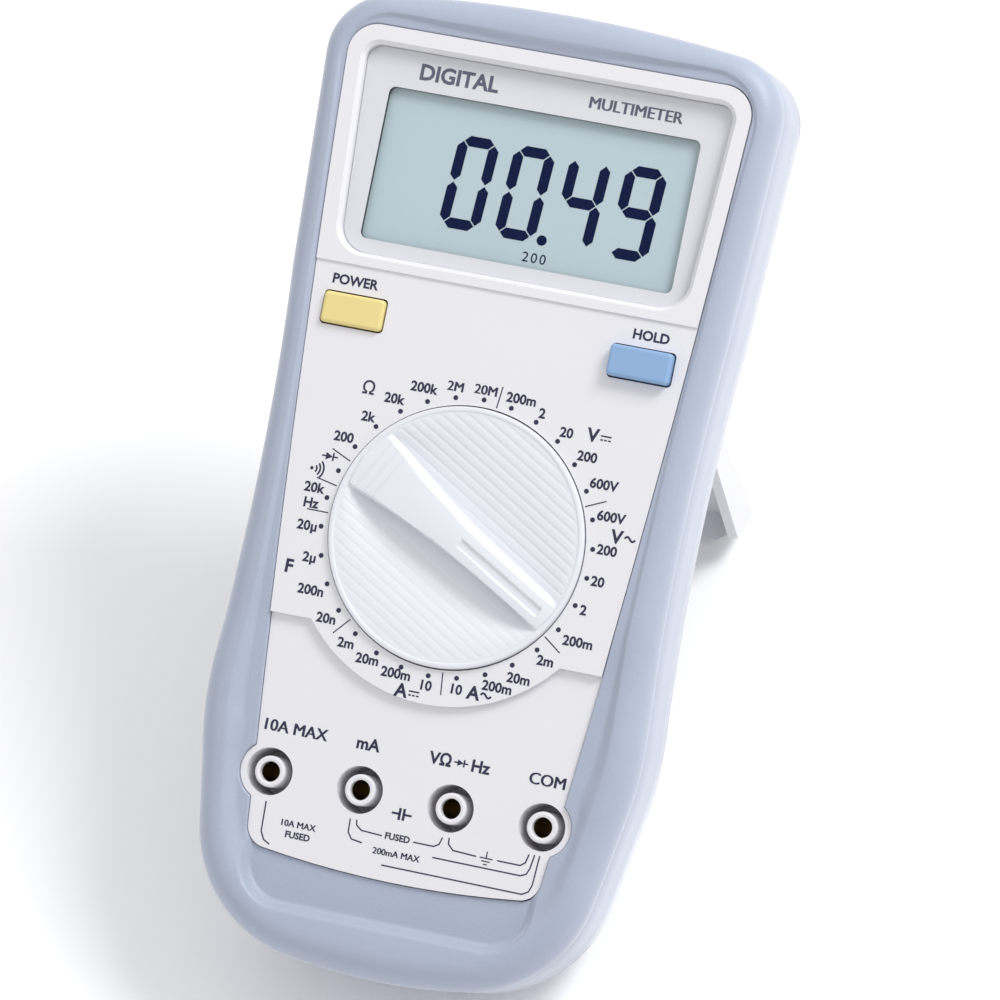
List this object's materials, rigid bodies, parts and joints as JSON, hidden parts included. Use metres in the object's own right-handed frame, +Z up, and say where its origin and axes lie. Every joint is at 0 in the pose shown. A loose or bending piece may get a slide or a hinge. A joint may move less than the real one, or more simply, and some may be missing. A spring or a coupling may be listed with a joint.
{
  "type": "handheld digital multimeter",
  "caption": "Handheld digital multimeter leaning on its flip-out stand, with a display, rotary selector, push buttons and input sockets.",
  "frame": {"origin": "centre of the bounding box on the table, with the meter leaning on its opened stand", "axes": "+Z up, +X to the right across the face, +Y to the back; the face looks up and towards -Y, leaning back by its stand"},
  "size_m": [0.0916, 0.1676, 0.1285],
  "materials": {
    "shell_blue": "soft-touch, fine texture",
    "panel_white": "satin moulded",
    "rear_grey": "fine moulded texture",
    "stand_grey": "satin moulded",
    "knob_white": "satin gloss",
    "button_yellow": "satin gloss",
    "button_blue": "satin gloss",
    "lens_clear": "clear",
    "mask_white": "printed",
    "lcd_glass": "polarised",
    "inner_black": "moulded",
    "rubber_pink": "silicone",
    "board_green": "solder mask",
    "switch_cream": "moulded",
    "plated_steel": "zinc plated",
    "brass_gold": "plated",
    "chip_black": "moulded",
    "trimmer_blue": "moulded",
    "capacitor_red": "dipped",
    "capacitor_sleeve": "sleeve",
    "thermistor_orange": "dipped",
    "fuse_ceramic": "glazed",
    "shunt_metal": "bare",
    "battery_sleeve": "printed sleeve",
    "wire_red": "insulation",
    "wire_black": "insulation",
    "foam_grey": "foam"
  },
  "bodies": {
    "case": {"front_case": "shell_blue", "face_panel": "panel_white", "rear_case": "rear_grey", "battery_door": "rear_grey", "display_lens": "lens_clear", "display_mask": "mask_white", "lcd_cell": "lcd_glass", "display_frame": "inner_black", "zebra_strips": "rubber_pink", "main_board": "board_green", "input_board": "board_green", "board_screws": "plated_steel", "case_screws": "plated_steel", "door_screw": "plated_steel", "measuring_chip": "chip_black", "buzzer": "inner_black", "trimmers": "trimmer_blue", "film_capacitors": "capacitor_red", "electrolytic_capacitor": "capacitor_sleeve", "thermistor": "thermistor_orange", "fuse_10a": "fuse_ceramic", "fuse_200ma": "fuse_ceramic", "fuse_clips": "brass_gold", "current_shunt": "shunt_metal", "socket_10a": "brass_gold", "socket_ma": "brass_gold", "socket_volt_ohm": "brass_gold", "socket_common": "brass_gold", "socket_nuts": "brass_gold", "battery": "battery_sleeve", "battery_snap": "inner_black", "battery_lead_red": "wire_red", "battery_lead_black": "wire_black", "battery_pad": "foam_grey", "power_switch": "switch_cream", "hold_switch": "switch_cream"},
    "selector": {"selector_knob": "knob_white", "knob_rotor": "switch_cream", "knob_screw": "plated_steel", "wiper_contacts": "brass_gold", "detent_springs": "plated_steel", "detent_balls": "plated_steel"},
    "power_key": {"power_button": "button_yellow"},
    "hold_key": {"hold_button": "button_blue"},
    "stand": {"tilt_stand": "stand_grey"}
  },
  "joints": [
    {"name": "selector_turn", "type": "hinge", "parent": "case", "child": "selector", "pos_m": [0, -0.01378, 0.07167], "axis": [0, -0.5616, 0.8274], "continuous": true},
    {"name": "power_press", "type": "slide", "parent": "case", "child": "power_key", "axis": [0, -0.5616, 0.8274], "range_m": [-0.0005, 0.0013], "stiffness_N_per_m": 400},
    {"name": "hold_press", "type": "slide", "parent": "case", "child": "hold_key", "axis": [0, -0.5616, 0.8274], "range_m": [-0.0018, 0], "stiffness_N_per_m": 400, "springref_m": 0.0005},
    {"name": "stand_fold", "type": "hinge", "parent": "case", "child": "stand", "pos_m": [0, 0.03234, 0.06961], "axis": [-1, 0, 0], "range_deg": [0, 73.8]}
  ]
}
